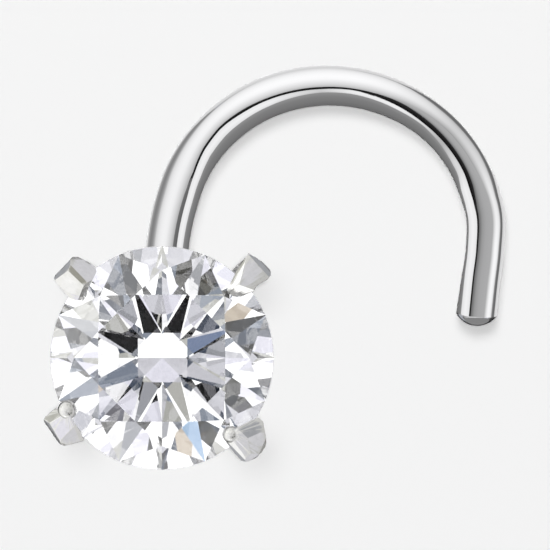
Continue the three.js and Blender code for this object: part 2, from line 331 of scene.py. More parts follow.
# Rings of round cards in front of those panels. The cut repeats every eighth of a turn, so its facets look
# out in rings of eight or sixteen directions. Each row is a ring: elevation and half width in degrees, the
# azimuths of its cards in the first eighth, and their tones anticlockwise all round. None hangs no card.
EIGHTH = 45
STONE_RINGS = (
    # what the middle shows: white in front and paler behind
    (45, 6, (22.5,), (PALE, LAVENDER, LAVENDER, PALE, WHITE, WHITE, WHITE, WHITE)),
    # flashes between the arrows
    (
        56, 3, (11.25, 33.75), (
            SLATE, GREY, LAVENDER, PALE, GREY, PALE, WHITE, WARM,
            None, None, LAVENDER, LAVENDER, WHITE, None, PALE, BLACK,
        ),
    ),
    # wedges outside the arrows, in pairs and between the pairs
    (
        70, 2.2, (9, 36), (
            SLATE, None, GREY, SLATE, BLACK, None, PALE, None,
            None, GREY, None, BLACK, BLACK, None, None, None,
        ),
    ),
    (68, 2.2, (22.5,), (BLACK, SLATE, BLACK, None, GREY, BLACK, None, TAN)),
    # the arrows, black at the back, blue to the right and paler in front
    (78, 2, (22.5,), (BLUE, BLACK, BLACK, BLACK, STEEL, GREY, WARM, PALE)),
    # the arrows' points
    (81.5, 1.2, (22.5,), (None, GREY, BLACK, GREY, None, GREY, SKY_BLUE, None)),
)

# Cards for the metal: the half width of a filed face's card in degrees, and three cards by azimuth,
# elevation, half width and tone. The beads show a dark one to the lower right as a crescent, the tip's
# dome shows a grey one, and the lens's flag is as dark as a camera's lens.
FACE_CARD_HALF = 11
BEAD_CARD = (320, 44, 20, BLACK)
TIP_CARD = (268, -26, 34, ("#FFFFFF", 0.28))
LENS_FLAG = (216, 89.5, 2.5, BLACK)

# How far round cards hang from the head, or the tip's card from the tip, and the share of that by which
# each is nearer than the one before it
CARDS_REACH = 700
LENS_FLAG_REACH = 200
TIP_CARD_REACH = 2
CARD_STEP = 0.004


def linear(code, strength=1.0):
    """An sRGB hex colour as linear red, green, blue and alpha."""
    parts = [int(code[k : k + 2], 16) / 255 for k in (1, 3, 5)]
    light = [c / 12.92 if c <= 0.04045 else ((c + 0.055) / 1.055) ** 2.4 for c in parts]
    return (*[c * strength for c in light], 1.0)


def add_node(tree, kind, values=None, links=None, **settings):
    """Adds a node with its settings, its sockets' values and the links into it."""
    made = tree.nodes.new(kind)
    for name, value in settings.items():
        setattr(made, name, value)
    for name, value in (values or {}).items():
        made.inputs[name].default_value = value
    for name, socket in (links or {}).items():
        tree.links.new(socket, made.inputs[name])
    return made


def new_material(name):
    """An empty material, its node tree and the surface socket of its output."""
    material = bpy.data.materials.new(name)
    material.use_nodes = True
    material.node_tree.nodes.clear()
    out = add_node(material.node_tree, "ShaderNodeOutputMaterial")
    return material, material.node_tree, out.inputs["Surface"]


def add_noise(tree, place, scale, detail):
    """A noise at a place. Where the place is in metres, its scale counts swells in a metre."""
    return add_node(tree, "ShaderNodeTexNoise", {"Scale": scale, "Detail": detail}, {"Vector": place})


def add_gloss(tree, noise, low, high):
    """Roughness that runs between two values as the noise runs through the middle of its range."""
    limits = {"From Min": 0.3, "From Max": 0.7, "To Min": low, "To Max": high}
    return add_node(tree, "ShaderNodeMapRange", limits, {"Value": noise.outputs["Fac"]})


def add_bump(tree, height, strength, depth):
    """Bumps of a depth in millimetres, from a socket that gives their height."""
    values = {"Strength": strength, "Distance": depth * MM}
    return add_node(tree, "ShaderNodeBump", values, {"Height": height})


def new_mesh(name, points, faces):
    """A mesh from points in millimetres."""
    mesh = bpy.data.meshes.new(name)
    mesh.from_pydata([Vector(p) * MM for p in points], [], faces)
    return mesh


def new_object(mesh, material, smooth_deg=None):
    """Shows a mesh by its own name, smooth but for edges sharper than an angle, or flat if none is given."""
    mesh.materials.append(material)
    if smooth_deg is not None:
        mesh.polygons.foreach_set("use_smooth", [True] * len(mesh.polygons))
        mesh.set_sharp_from_angle(angle=math.radians(smooth_deg))
    mesh.update()
    made = bpy.data.objects.new(mesh.name, mesh)
    bpy.context.scene.collection.objects.link(made)
    return made


def wear_as_metal(made):
    """The piece belongs to the ring's metal and moves with it."""
    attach(made, "root")
    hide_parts("setting_and_screw_post")


def table_at(rows, place):
    """The row of a table at a place between its first column's values, which fall."""
    if place >= rows[0][0]:
        return rows[0][1:]
    for a, b in zip(rows, rows[1:]):
        if place >= b[0]:
            share = (a[0] - place) / (a[0] - b[0])
            return [p + (q - p) * share for p, q in zip(a[1:], b[1:])]
    return rows[-1][1:]


def stop_at(stops, share):
    """The value at a share of the way along evenly spaced stops."""
    place = share * (len(stops) - 1)
    k = min(int(place), len(stops) - 2)
    return stops[k] + (stops[k + 1] - stops[k]) * (place - k)


def smooth_through(knots, steps):
    """Points along a smooth curve through the knots, which are tuples of one length. Each knot's slope
    heeds how far away its neighbours are, so that uneven knots leave no kink."""
    spots = [Vector(knot) for knot in knots]
    gaps = [(b - a).length for a, b in zip(spots, spots[1:])]
    slopes = [(b - a) / gap for a, b, gap in zip(spots, spots[1:], gaps)]
    turns = [slopes[0]]
    for k in range(1, len(gaps)):
        turns.append((slopes[k - 1] * gaps[k] + slopes[k] * gaps[k - 1]) / (gaps[k - 1] + gaps[k]))
    turns.append(slopes[-1])
    found = []
    for k, gap in enumerate(gaps):
        for j in range(steps):
            t = j / steps
            start = (1 + 2 * t) * (1 - t) ** 2 * spots[k] + t * (1 - t) ** 2 * gap * turns[k]
            end = t**2 * (3 - 2 * t) * spots[k + 1] - t**2 * (1 - t) * gap * turns[k + 1]
            found.append(tuple(start + end))
    return [*found, tuple(knots[-1])]


# Materials


def polished_wire(look):
    """White gold wire, drawn, bent, polished on a cloth and rhodium plated: a mirror with soft waves."""
    material, tree, surface = new_material("white_gold_wire_polished_and_rhodium_plated")
    place = add_node(tree, "ShaderNodeUVMap", uv_map="along_and_round")
    # the cloth's lines run along the wire, 2 mm long and 0.12 mm apart, and blur the mirror a little
    lines = add_node(tree, "ShaderNodeMapping", {"Scale": (500, 8300, 1)}, {"Vector": place.outputs["UV"]})
    rubbed = add_noise(tree, lines.outputs["Vector"], 1.0, 3.0)
    gloss = add_gloss(tree, rubbed, 0.6 * look.wire_roughness, 1.5 * look.wire_roughness)
    # hand bending leaves shallow flats about 1.2 mm long, which make the reflections wander
    swell = add_node(tree, "ShaderNodeMapping", {"Scale": (800, 1500, 1)}, {"Vector": place.outputs["UV"]})
    flats = add_noise(tree, swell.outputs["Vector"], 1.0, 1.0)
    bump = add_bump(tree, flats.outputs["Fac"], 0.6, 0.003)
    shader = add_node(
        tree,
        "ShaderNodeBsdfPrincipled",
        {"Base Color": linear(look.plating_hex), "Metallic": 1.0},
        {"Roughness": gloss.outputs["Result"], "Normal": bump.outputs["Normal"]},
    )
    tree.links.new(shader.outputs["BSDF"], surface)
    return material


def filed_claw(look, name, fan_from):
    """Cast white gold claw, filed by hand and lightly polished: nearly flat faces with file marks that fan
    from the tip, greyer and warmer than the plated wire."""
    material, tree, surface = new_material("cast_white_gold_hand_filed_" + name)
    place = add_node(tree, "ShaderNodeTexCoord")
    tip = add_node(
        tree,
        "ShaderNodeVectorMath",
        {1: (fan_from[0] * MM, fan_from[1] * MM, 0)},
        {0: place.outputs["Object"]},
        operation="SUBTRACT",
    )
    parts = add_node(tree, "ShaderNodeSeparateXYZ", None, {"Vector": tip.outputs["Vector"]})
    turn = add_node(
        tree, "ShaderNodeMath", None, {0: parts.outputs["Y"], 1: parts.outputs["X"]}, operation="ARCTAN2"
    )
    # file marks: flutes about 0.2 mm apart at the claw's outer end, with finer ones between
    marks = add_node(
        tree,
        "ShaderNodeTexNoise",
        {"Scale": 3.6, "Detail": 2.0, "Roughness": 0.5},
        {"W": turn.outputs["Value"]},
        noise_dimensions="1D",
    )
    # the hand leaves each face a little crowned, in swells about 0.4 mm across
    crown = add_noise(tree, place.outputs["Object"], 2500.0, 0.0)
    height = add_node(
        tree,
        "ShaderNodeMath",
        {1: 1.6},
        {0: crown.outputs["Fac"], 2: marks.outputs["Fac"]},
        operation="MULTIPLY_ADD",
    )
    bump = add_bump(tree, height.outputs["Value"], 0.8, 0.011)
    # pores of the casting, 0.1 mm apart, tint the metal and dull it
    pores = add_noise(tree, place.outputs["Object"], 9000.0, 3.0)
    tint = add_node(
        tree,
        "ShaderNodeMix",
        {6: linear(look.claw_dull_hex), 7: linear(look.claw_bright_hex)},
        {0: pores.outputs["Fac"]},
        data_type="RGBA",
    )
    gloss = add_gloss(tree, pores, 0.6 * look.claw_roughness, 1.5 * look.claw_roughness)
    shader = add_node(
        tree,
        "ShaderNodeBsdfPrincipled",
        {"Metallic": 1.0},
        {
            "Base Color": tint.outputs[2],
            "Roughness": gloss.outputs["Result"],
            "Normal": bump.outputs["Normal"],
        },
    )
    tree.links.new(shader.outputs["BSDF"], surface)
    return material


def cast_gold(look):
    """Cast white gold, tumbled bright: the cup and the gallery ring, with the faint skin of the casting."""
    material, tree, surface = new_material("cast_white_gold_tumbled")
    place = add_node(tree, "ShaderNodeTexCoord")
    # the casting's skin, with grains about 0.14 mm across
    skin = add_noise(tree, place.outputs["Object"], 7000.0, 4.0)
    gloss = add_gloss(tree, skin, 0.10, 0.24)
    bump = add_bump(tree, skin.outputs["Fac"], 0.5, 0.008)
    shader = add_node(
        tree,
        "ShaderNodeBsdfPrincipled",
        {"Base Color": linear(look.plating_hex), "Metallic": 1.0},
        {"Roughness": gloss.outputs["Result"], "Normal": bump.outputs["Normal"]},
    )
    tree.links.new(shader.outputs["BSDF"], surface)
    return material


def cut_diamond(look):
    """Colourless diamond: flat polished facets that split the light into black and white, and a girdle
    ground grey, which shows as a fine frosted rim."""
    material, tree, surface = new_material("colourless_diamond_cut_and_polished")
    place = add_node(tree, "ShaderNodeTexCoord")
    from_axis = add_node(
        tree, "ShaderNodeVectorMath", {1: HEAD * MM}, {0: place.outputs["Object"]}, operation="SUBTRACT"
    )
    parts = add_node(tree, "ShaderNodeSeparateXYZ", None, {"Vector": from_axis.outputs["Vector"]})
    height = add_node(tree, "ShaderNodeMath", None, {0: parts.outputs["Z"]}, operation="ABSOLUTE")
    on_plan = add_node(
        tree, "ShaderNodeVectorMath", {1: (1, 1, 0)}, {0: from_axis.outputs["Vector"]}, operation="MULTIPLY"
    )
    reach = add_node(tree, "ShaderNodeVectorMath", None, {0: on_plan.outputs["Vector"]}, operation="LENGTH")
    rim = add_node(
        tree,
        "ShaderNodeMath",
        {1: RIM_STARTS * STONE_RADIUS * MM},
        {0: reach.outputs["Value"]},
        operation="GREATER_THAN",
    )
    band = add_node(
        tree, "ShaderNodeMath", {1: RIM_HALF * MM}, {0: height.outputs["Value"]}, operation="LESS_THAN"
    )
    ground = add_node(
        tree,
        "ShaderNodeMath",
        None,
        {0: rim.outputs["Value"], 1: band.outputs["Value"]},
        operation="MULTIPLY",
    )
    gloss = add_node(
        tree,
        "ShaderNodeMapRange",
        {"To Min": 0.0, "To Max": look.girdle_roughness},
        {"Value": ground.outputs["Value"]},
    )
    shader = add_node(
        tree,
        "ShaderNodeBsdfPrincipled",
        {"Base Color": linear("#FFFFFF"), "IOR": 2.417, "Transmission Weight": 1.0},
        {"Roughness": gloss.outputs["Result"]},
    )
    tree.links.new(shader.outputs["BSDF"], surface)
    return material


def paper(look):
    """Matt white paper: the pale ground that the ring stands on, with the paper's faint tooth."""
    material, tree, surface = new_material("white_paper_matt")
    place = add_node(tree, "ShaderNodeTexCoord")
    # the tooth's bumps are 0.17 mm apart
    tooth = add_noise(tree, place.outputs["Object"], 6000.0, 3.0)
    bump = add_bump(tree, tooth.outputs["Fac"], 0.1, 0.002)
    shader = add_node(
        tree,
        "ShaderNodeBsdfPrincipled",
        {"Base Color": linear(look.ground_hex), "Roughness": 0.9, "Specular IOR Level": 0.0},
        {"Normal": bump.outputs["Normal"]},
    )
    tree.links.new(shader.outputs["BSDF"], surface)
    return material


def glowing_card():
    """A lit card that only reflections or refractions show; its tone is stored on its corners."""
    material, tree, surface = new_material("lit_card")
    glow = add_node(tree, "ShaderNodeVertexColor", layer_name="glow")
    lit = add_node(tree, "ShaderNodeEmission", {"Strength": 1.0}, {"Color": glow.outputs["Color"]})
    tree.links.new(lit.outputs["Emission"], surface)
    return material


# The wire: post, bend and hook


def hook_knots():
    """The hook's knots as (x, y, z, radius): it lies on the ground, so its middle is a radius high."""
    found = []
    for azimuth, reach, radius in HOOK_ROUTE:
        turn = math.radians(azimuth)
        found.append((HOOK_X + reach * math.cos(turn), HOOK_Y + reach * math.sin(turn), radius, radius))
    return found


def wire_line():
    """The wire's middle line as (x, y, z, radius), from the cup down the post and round to the tip."""
    bend_z = POST_RADIUS + BEND_RADIUS
    knots = [(POST_X, POST_Y, z, POST_RADIUS) for z in (CUP_FOOT_Z + 0.15, 4.4, 3.2, 2.0, 1.2, 0.85)]
    for turn in range(0, 91, 15):
        y = POST_Y + BEND_RADIUS * (1 - math.cos(math.radians(turn)))
        z = bend_z - BEND_RADIUS * math.sin(math.radians(turn))
        knots.append((POST_X, y, z, POST_RADIUS))
    knots.append((POST_X, POST_Y + 0.62, POST_RADIUS + 0.008, POST_RADIUS + 0.008))
    return smooth_through([*knots, *hook_knots()], 14)


def ring_round(middle, radius, side, other, sides):
    """Points evenly round a circle that lies in the plane of two directions."""
    turns = [2 * math.pi * j / sides for j in range(sides)]
    return [middle + radius * (math.cos(t) * side + math.sin(t) * other) for t in turns]


def wire_rings(line, dome, sides):
    """The wire's rings of points, each with how far along it lies, to the far side of its domed tip."""
    middles = [Vector(p[:3]) for p in line]
    ahead = [(b - a).normalized() for a, b in zip(middles, middles[1:])]
    ahead = [ahead[0], *[(a + b).normalized() for a, b in zip(ahead, ahead[1:])], ahead[-1]]
    side = Vector((1, 0, 0))
    rings, run = [], 0.0
    for k, (middle, (*_, radius)) in enumerate(zip(middles, line)):
        side = (side - side.dot(ahead[k]) * ahead[k]).normalized()
        run += (middle - middles[k - 1]).length if k else 0.0
        rings.append((run, ring_round(middle, radius, side, ahead[k].cross(side), sides)))
    # the end is cut a little askew, so that its upper edge stands proud of its lower one
    forward, middle, radius = ahead[-1], middles[-1], line[-1][3]
    cut = Vector((forward.x + TIP_ASIDE, forward.y, TIP_LEAN)).normalized()
    rim = [p - forward * ((p - middle).dot(cut) / forward.dot(cut)) for p in rings[-1][1]]
    rings[-1] = (run, rim)
    ball = (radius**2 + dome**2) / (2 * dome)
    lean = math.asin(radius / ball)
    steps = 9
    for k in range(1, steps):
        turn = lean * (1 - k / steps)
        share = ball * math.sin(turn) / radius
        rise = ball * math.cos(turn) - (ball - dome)
        rings.append((run + rise, [middle + (p - middle) * share + cut * rise for p in rim]))
    return rings, middles[0], middle + cut * dome


def wire_mesh(name, line, dome, sides=56):
    """A round tube along the line to a domed tip, with a UV map in metres along and round it."""
    rings, start, end = wire_rings(line, dome, sides)
    points = [p for _, ring in rings for p in ring] + [start, end]
    faces = []
    for k in range(len(rings) - 1):
        for j in range(sides):
            a, b = k * sides + j, k * sides + (j + 1) % sides
            faces.append((a, b, b + sides, a + sides))
    last = (len(rings) - 1) * sides
    for j in range(sides):
        faces.append((len(points) - 2, (j + 1) % sides, j))
        faces.append((len(points) - 1, last + j, last + (j + 1) % sides))
    mesh = new_mesh(name, points, faces)
    layer = mesh.uv_layers.new(name="along_and_round")
    for face in mesh.polygons:
        columns = [mesh.loops[i].vertex_index % sides for i in face.loop_indices]
        for i in face.loop_indices:
            corner = mesh.loops[i].vertex_index
            along = rings[min(corner // sides, len(rings) - 1)][0]
            column = corner % sides if corner < len(points) - 2 else 0
            if column == 0 and max(columns) == sides - 1:
                column = sides
            layer.data[i].uv = (along * MM, 2 * math.pi * POST_RADIUS * column / sides * MM)
    return mesh


# The head


def add_to(work, shape):
    """Puts a shape into the work and frees it."""
    kept = bpy.data.meshes.new("shape")
    shape.to_mesh(kept)
    shape.free()
    work.from_mesh(kept)
    bpy.data.meshes.remove(kept)


def trim(shape, point, normal, keep_above=False):
    """Cuts a closed convex shape by a plane and closes it again."""
    cut = bmesh.ops.bisect_plane(
        shape,
        geom=[*shape.verts, *shape.edges, *shape.faces],
        plane_co=point,
        plane_no=Vector(normal).normalized(),
        clear_outer=not keep_above,
        clear_inner=keep_above,
        dist=1e-6,
    )
    edges = [e for e in cut["geom_cut"] if isinstance(e, bmesh.types.BMEdge)]
    if edges:
        bmesh.ops.contextual_create(shape, geom=edges)


def claw_mesh(claw, edge):
    """A claw as it is filed: the block over the crown, the block beside the girdle, and the stem, each
    trimmed back to the notch that the stone sits in, with a bead on the two that end in one."""
    work = bmesh.new()
    over_crown = ((STONE_RADIUS, 0, NOTCH_HALF), (NOTCH_RISE, 0, 1), True)
    under_girdle = ((STONE_RADIUS, 0, -NOTCH_HALF), (NOTCH_FALL, 0, 1), False)
    for shape, notch in (
        (claw_block(claw, edge), over_crown),
        (claw_block(claw, edge), under_girdle),
        (stem_block(), under_girdle),
    ):
        trim(shape, *notch)
        add_to(work, shape)
    if claw["bead"]:
        add_to(work, bead_cap(*claw["bead"]))
    bmesh.ops.scale(work, vec=(MM, MM, MM), verts=work.verts)
    mesh = bpy.data.meshes.new(claw["name"])
    work.to_mesh(mesh)
    work.free()
    return mesh


def claw_block(claw, edge):
    """The claw's broad upper part: its plan stood up, and each face filed flat."""
    foot, height = -0.5, 1.2
    block = bmesh.new()
    block.faces.new([block.verts.new((u, v, foot)) for u, v in reversed(claw["outline"])])
    raised = bmesh.ops.extrude_face_region(block, geom=block.faces[:])
    upper = [g for g in raised["geom"] if isinstance(g, bmesh.types.BMVert)]
    bmesh.ops.translate(block, vec=(0, 0, height), verts=upper)
    bmesh.ops.recalc_face_normals(block, faces=block.faces)
    for u, v, z, rise_u, rise_v, _ in claw["cuts"]:
        trim(block, (u, v, z), (-rise_u, -rise_v, 1))
    # below the girdle the block narrows into the stem
    trim(block, (2.10, 0, -0.05), (1, 0, -0.25))
    for side in (-1, 1):
        trim(block, (1.9, 0.23 * side, -0.15), (0, side, -0.55))
    sharp = [e for e in block.edges if len(e.link_faces) == 2 and e.calc_face_angle(0) > math.radians(12)]
    bmesh.ops.bevel(
        block, geom=sharp, offset=edge, segments=3, profile=0.5, affect="EDGES", clamp_overlap=True
    )
    return block


def stem_block(sides=20):
    """The claw's stem, a squared oval that flares from the cup out to the girdle."""
    outer, inner = smooth_through(STEM_OUTSIDE, 4), smooth_through(STEM_INSIDE, 4)
    stem = bmesh.new()
    rings = []
    for k, ((u_out, z_out), (u_in, z_in)) in enumerate(zip(outer, inner)):
        half = 0.16 + 0.07 * k / (len(outer) - 1)
        middle = Vector(((u_out + u_in) / 2, 0, (z_out + z_in) / 2))
        reach = Vector(((u_out - u_in) / 2, 0, (z_out - z_in) / 2))
        ring = []
        for j in range(sides):
            turn = 2 * math.pi * j / sides
            along = math.copysign(math.sqrt(abs(math.cos(turn))), math.cos(turn))
            across = math.copysign(math.sqrt(abs(math.sin(turn))), math.sin(turn))
            ring.append(stem.verts.new(middle + reach * along + Vector((0, half * across, 0))))
        rings.append(ring)
    close_rings(stem, rings)
    return stem


def bead_cap(u, v, radius, top):
    """The claw's end, rounded by a beading tool into a small dome."""
    cap = bmesh.new()
    depth, sides = 0.26, 32
    shoulder = 0.45 * depth
    profile = [(0.86, -depth), (1.0, -0.5 * depth), (1.0, -shoulder)]
    profile += [(math.cos(t), -shoulder * (1 - math.sin(t))) for t in (0.25, 0.5, 0.75, 1.0, 1.2, 1.4)]
    rings = []
    for share, z in profile:
        middle = Vector((u, v, top + z))
        ring = ring_round(middle, radius * share, Vector((1, 0, 0)), Vector((0, 1, 0)), sides)
        rings.append([cap.verts.new(p) for p in ring])
    close_rings(cap, rings)
    return cap


def close_rings(shape, rings):
    """Skins rings of points into a closed shape."""
    sides = len(rings[0])
    for a, b in zip(rings, rings[1:]):
        for j in range(sides):
            shape.faces.new((a[j], a[(j + 1) % sides], b[(j + 1) % sides], b[j]))
    shape.faces.new(reversed(rings[0]))
    shape.faces.new(rings[-1])
    bmesh.ops.recalc_face_normals(shape, faces=shape.faces)


def turned_mesh(name, outline, sides=72):
    """A ring or cup turned about the stone's axis: outline is (reach, height) pairs, closed on itself."""
    shape = bmesh.new()
    rings = []
    for reach, height in outline:
        middle = Vector((0, 0, height))
        ring = ring_round(middle, reach, Vector((1, 0, 0)), Vector((0, 1, 0)), sides)
        rings.append([shape.verts.new(p * MM) for p in ring])
    for a, b in zip(rings, rings[1:] + rings[:1]):
        for j in range(sides):
            shape.faces.new((a[j], a[(j + 1) % sides], b[(j + 1) % sides], b[j]))
    bmesh.ops.recalc_face_normals(shape, faces=shape.faces)
    mesh = bpy.data.meshes.new(name)
    shape.to_mesh(mesh)
    shape.free()
    return mesh


def at_the_girdle(made, azimuth=0.0):
    """Moves a piece to the girdle's middle and turns it to its azimuth."""
    made.matrix_world = Matrix.Translation(HEAD * MM) @ Matrix.Rotation(math.radians(azimuth), 4, "Z")


# The stage


def hide_but(card, reflections=False, refractions=False, shade=False):
    """The card lights nothing and shows only in reflections, through the stone or by its shade."""
    card.visible_camera = card.visible_diffuse = card.visible_volume_scatter = False
    card.visible_glossy = reflections
    card.visible_transmission = refractions
    card.visible_shadow = shade


def set_glow(mesh, tones):
    """Stores a tone for each face, or a brightness for each point."""
    on_faces = isinstance(tones[0], tuple)
    layer = mesh.color_attributes.new("glow", "FLOAT_COLOR", "CORNER" if on_faces else "POINT")
    if on_faces:
        tones = [tone for face, tone in zip(mesh.polygons, tones) for _ in face.loop_indices]
    for corner, tone in zip(layer.data, tones):
        corner.color = linear(*tone) if on_faces else (tone, tone, tone, 1.0)


def way_to(azimuth, elevation):
    """The direction of an azimuth and elevation, one long."""
    turn, rise = math.radians(azimuth), math.radians(elevation)
    return Vector((math.cos(rise) * math.cos(turn), math.cos(rise) * math.sin(turn), math.sin(rise)))


def shown_tilt(share, radius):
    """How far from upright, seen from the wire's middle, a card stands that the wire shows at this share
    of its radius to a viewer straight above."""
    lean = math.asin(max(-1.0, min(1.0, share)))
    return 2 * lean - math.asin(radius / CARD_REACH * math.sin(lean))


def wire_card_mesh(name, rows, glow, across=14):
    """A long card that follows the hook beside or over the wire."""
    line = smooth_through(hook_knots(), 8)
    points, glows, faces = [], [], []
    for k, (x, y, z, radius) in enumerate(line):
        azimuth = math.degrees(math.atan2(y - HOOK_Y, x - HOOK_X))
        azimuth += 360 if azimuth < -90 else 0
        if not rows[-1][0] - 1 <= azimuth <= rows[0][0] + 1:
            continue
        before, after = line[max(k - 1, 0)], line[min(k + 1, len(line) - 1)]
        along = Vector((after[0] - before[0], after[1] - before[1], 0)).normalized()
        outward = Vector((-along.y, along.x, 0))
        start, end, *dimmed = table_at(rows, azimuth)
        for j in range(across + 1):
            tilt = shown_tilt(start + (end - start) * j / across, radius)
            away = math.sin(tilt) * outward + Vector((0, 0, math.cos(tilt)))
            points.append(Vector((x, y, z)) + CARD_REACH * away)
            glows.append(stop_at(glow, j / across) * (dimmed[0] if dimmed else 1.0))
    for k in range(len(points) // (across + 1) - 1):
        for j in range(across):
            a = k * (across + 1) + j
            faces.append((a, a + 1, a + across + 2, a + across + 1))
    mesh = new_mesh(name, points, faces)
    set_glow(mesh, glows)
    return mesh


def panel_dome_mesh(name, lowest, tone_of):
    """A dome of flat panels in rings round the head. tone_of gives a panel's tone from its elevation, its
    azimuth, its ring and its place in that ring."""
    points, tones, faces = [], [], []
    for ring in range(round((90 - lowest) / PANEL_RISE)):
        top = 90 - ring * PANEL_RISE
        middle = top - PANEL_RISE / 2
        count = max(4, round(360 * math.cos(math.radians(middle)) / PANEL_SWING))
        for k in range(count):
            left, right = (360 * (k + side) / count - PANEL_TURN * ring for side in (0, 1))
            for corner in ((left, top), (left, top - PANEL_RISE), (right, top - PANEL_RISE), (right, top)):
                points.append(HEAD + DOME_REACH * way_to(*corner))
            faces.append(tuple(range(len(points) - 4, len(points))))
            tones.append(tone_of(middle, (left + right) / 2, ring, k))
    mesh = new_mesh(name, points, faces)
    set_glow(mesh, tones)
    return mesh


def round_cards_mesh(name, reach, rows, middle=HEAD, sides=24):
    """Round cards hung about the head or the tip, each a little nearer than the one before it."""
    points, tones, faces = [], [], []
    for k, (azimuth, elevation, half_width, tone) in enumerate(rows):
        facing = way_to(azimuth, elevation)
        side = facing.orthogonal().normalized()
        away = reach * (1 - CARD_STEP * k)
        radius = away * math.tan(math.radians(half_width))
        points += ring_round(middle + away * facing, radius, side, facing.cross(side), sides)
        faces.append(tuple(range(k * sides, (k + 1) * sides)))
        tones.append(tone)
    mesh = new_mesh(name, points, faces)
    set_glow(mesh, tones)
    return mesh


def face_cards():
    """A card for each filed face, hung where the face mirrors it straight up, and the beads' card."""
    found = []
    for claw in CLAWS:
        for *_, rise_u, rise_v, tone in claw["cuts"]:
            lean = math.degrees(math.atan(math.hypot(rise_u, rise_v)))
            azimuth = claw["azimuth"] + math.degrees(math.atan2(-rise_v, -rise_u))
            found.append((azimuth, 90 - 2 * lean, FACE_CARD_HALF, tone))
    return [*found, BEAD_CARD]


def ring_cards():
    """The cards of the stone's rings, each as azimuth, elevation, half width and tone."""
    found = []
    for elevation, half_width, starts, tones in STONE_RINGS:
        azimuths = [start + turn for turn in range(0, 360, EIGHTH) for start in starts]
        found += [(azimuth, elevation, half_width, tone) for azimuth, tone in zip(azimuths, tones) if tone]
    return found


def metal_panel(elevation, azimuth, *_):
    """What the head's metal shows: white to the left, greyer to the right and dark from below."""
    # full light comes from the horizon upwards and none from 40 degrees under it, and 170 is the left
    low = max(0.0, min(1.0, (elevation + 40) / 40))
    left = 0.5 + 0.5 * math.cos(math.radians(azimuth - 170))
    return ("#FFFFFF", 0.06 + low * (0.6 + 0.5 * left))


def stone_panel(elevation, _, ring, place):
    """What the stone's light comes from: a ceiling of many tones, a dark room and a pale floor."""
    if elevation < FLOOR_HIGHEST:
        return PALE
    if elevation < CEILING_LOWEST:
        return ROOM
    return PANELS[(TONES_DOWN * ring + TONES_ALONG * place) % len(PANELS)]


def hang_lamp(name, kind, away, shaded_by=None, **settings):
    """Hangs a lamp over the ring. Only the pieces named keep its light from the ground."""
    lamp = bpy.data.lights.new(name, kind)
    for setting, value in settings.items():
        setattr(lamp, setting, value)
    # sampled the other way as well, the light would stop at pieces that are not named
    lamp.cycles.use_multiple_importance_sampling = False
    made = bpy.data.objects.new(name, lamp)
    bpy.context.scene.collection.objects.link(made)
    made.location = away * MM
    made.rotation_mode = "QUATERNION"
    made.rotation_quaternion = (-away).to_track_quat("-Z", "Y")
    made.visible_glossy = made.visible_transmission = False
    if shaded_by:
        blockers = bpy.data.collections.new(name + "_blockers")
        for piece in bpy.data.objects:
            if piece.name.startswith(shaded_by):
                blockers.objects.link(piece)
        made.light_linking.blocker_collection = blockers


# What a user may change


def length_property(name, description, default, low, high):
    """A length, given in millimetres."""
    return bpy.props.FloatProperty(
        name=name,
        description=description,
        default=default * MM,
        min=low * MM,
        max=high * MM,
        precision=6,
        unit="LENGTH",
    )


def share_property(name, description, default):
    """A share from none to all."""
    return bpy.props.FloatProperty(
        name=name, description=description, default=default, min=0, max=1, subtype="FACTOR"
    )


class NoseScrewLook(bpy.types.PropertyGroup):
    tip_dome: length_property(
        "Tip dome", "How far the wire's domed end stands out of its cut", 0.175, 0.02, 0.3
    )
    claw_edge: length_property(
        "Claw edge", "How broadly polishing has rounded the claws' filed edges", 0.02, 0.002, 0.05
    )
    gallery_wire: length_property(
        "Gallery wire", "Thickness of the gallery ring's wire under the stone", 0.26, 0.1, 0.3
    )
    wire_roughness: share_property("Wire roughness", "How blurred the wire's mirror finish is", 0.05)
    claw_roughness: share_property("Claw roughness", "How blurred the filed claws are", 0.09)
    girdle_roughness: share_property("Girdle roughness", "How frosted the stone's ground rim is", 0.3)
    plating_hex: bpy.props.StringProperty(
        name="Plating colour", description="The plated metal's colour, as sRGB hex", default="#E6E6E7"
    )
    claw_dull_hex: bpy.props.StringProperty(
        name="Claw colour, dull", description="The filed metal's colour at its dullest", default="#D6D6D2"
    )
    claw_bright_hex: bpy.props.StringProperty(
        name="Claw colour, bright",
        description="The filed metal's colour at its brightest",
        default="#ECEBE8",
    )
    ground_hex: bpy.props.StringProperty(
        name="Ground colour", description="The paper's colour, as sRGB hex", default="#F6F6F6"
    )
    window_share: share_property(
        "Window share", "How much of the ground's light falls aslant from the window", 0.34
    )
    fill_share: share_property(
        "Fill share", "How much of the ground's light falls almost straight and shades the claws softly", 0.18
    )


class NOSESCREW_OT_wire(bpy.types.Operator):
    """Adds the wire that is post, bend and hook"""

    bl_idname = "nosescrew.wire"
    bl_label = "Wire"

    def execute(self, context):
        look = context.scene.nose_screw_look
        mesh = wire_mesh("screw_wire", wire_line(), look.tip_dome / MM)
        wear_as_metal(new_object(mesh, polished_wire(look), smooth_deg=35))
        return {"FINISHED"}


class NOSESCREW_OT_claws(bpy.types.Operator):
    """Adds the four claws, each filed to its own shape"""

    bl_idname = "nosescrew.claws"
    bl_label = "Claws"

    def execute(self, context):
        look = context.scene.nose_screw_look
        for claw in CLAWS:
            fan_from = claw["bead"][:2] if claw["bead"] else (FAN_REACH, 0.0)
            finish = filed_claw(look, claw["name"], fan_from)
            made = new_object(claw_mesh(claw, look.claw_edge / MM), finish, smooth_deg=30)
            at_the_girdle(made, claw["azimuth"])
            wear_as_metal(made)
        return {"FINISHED"}


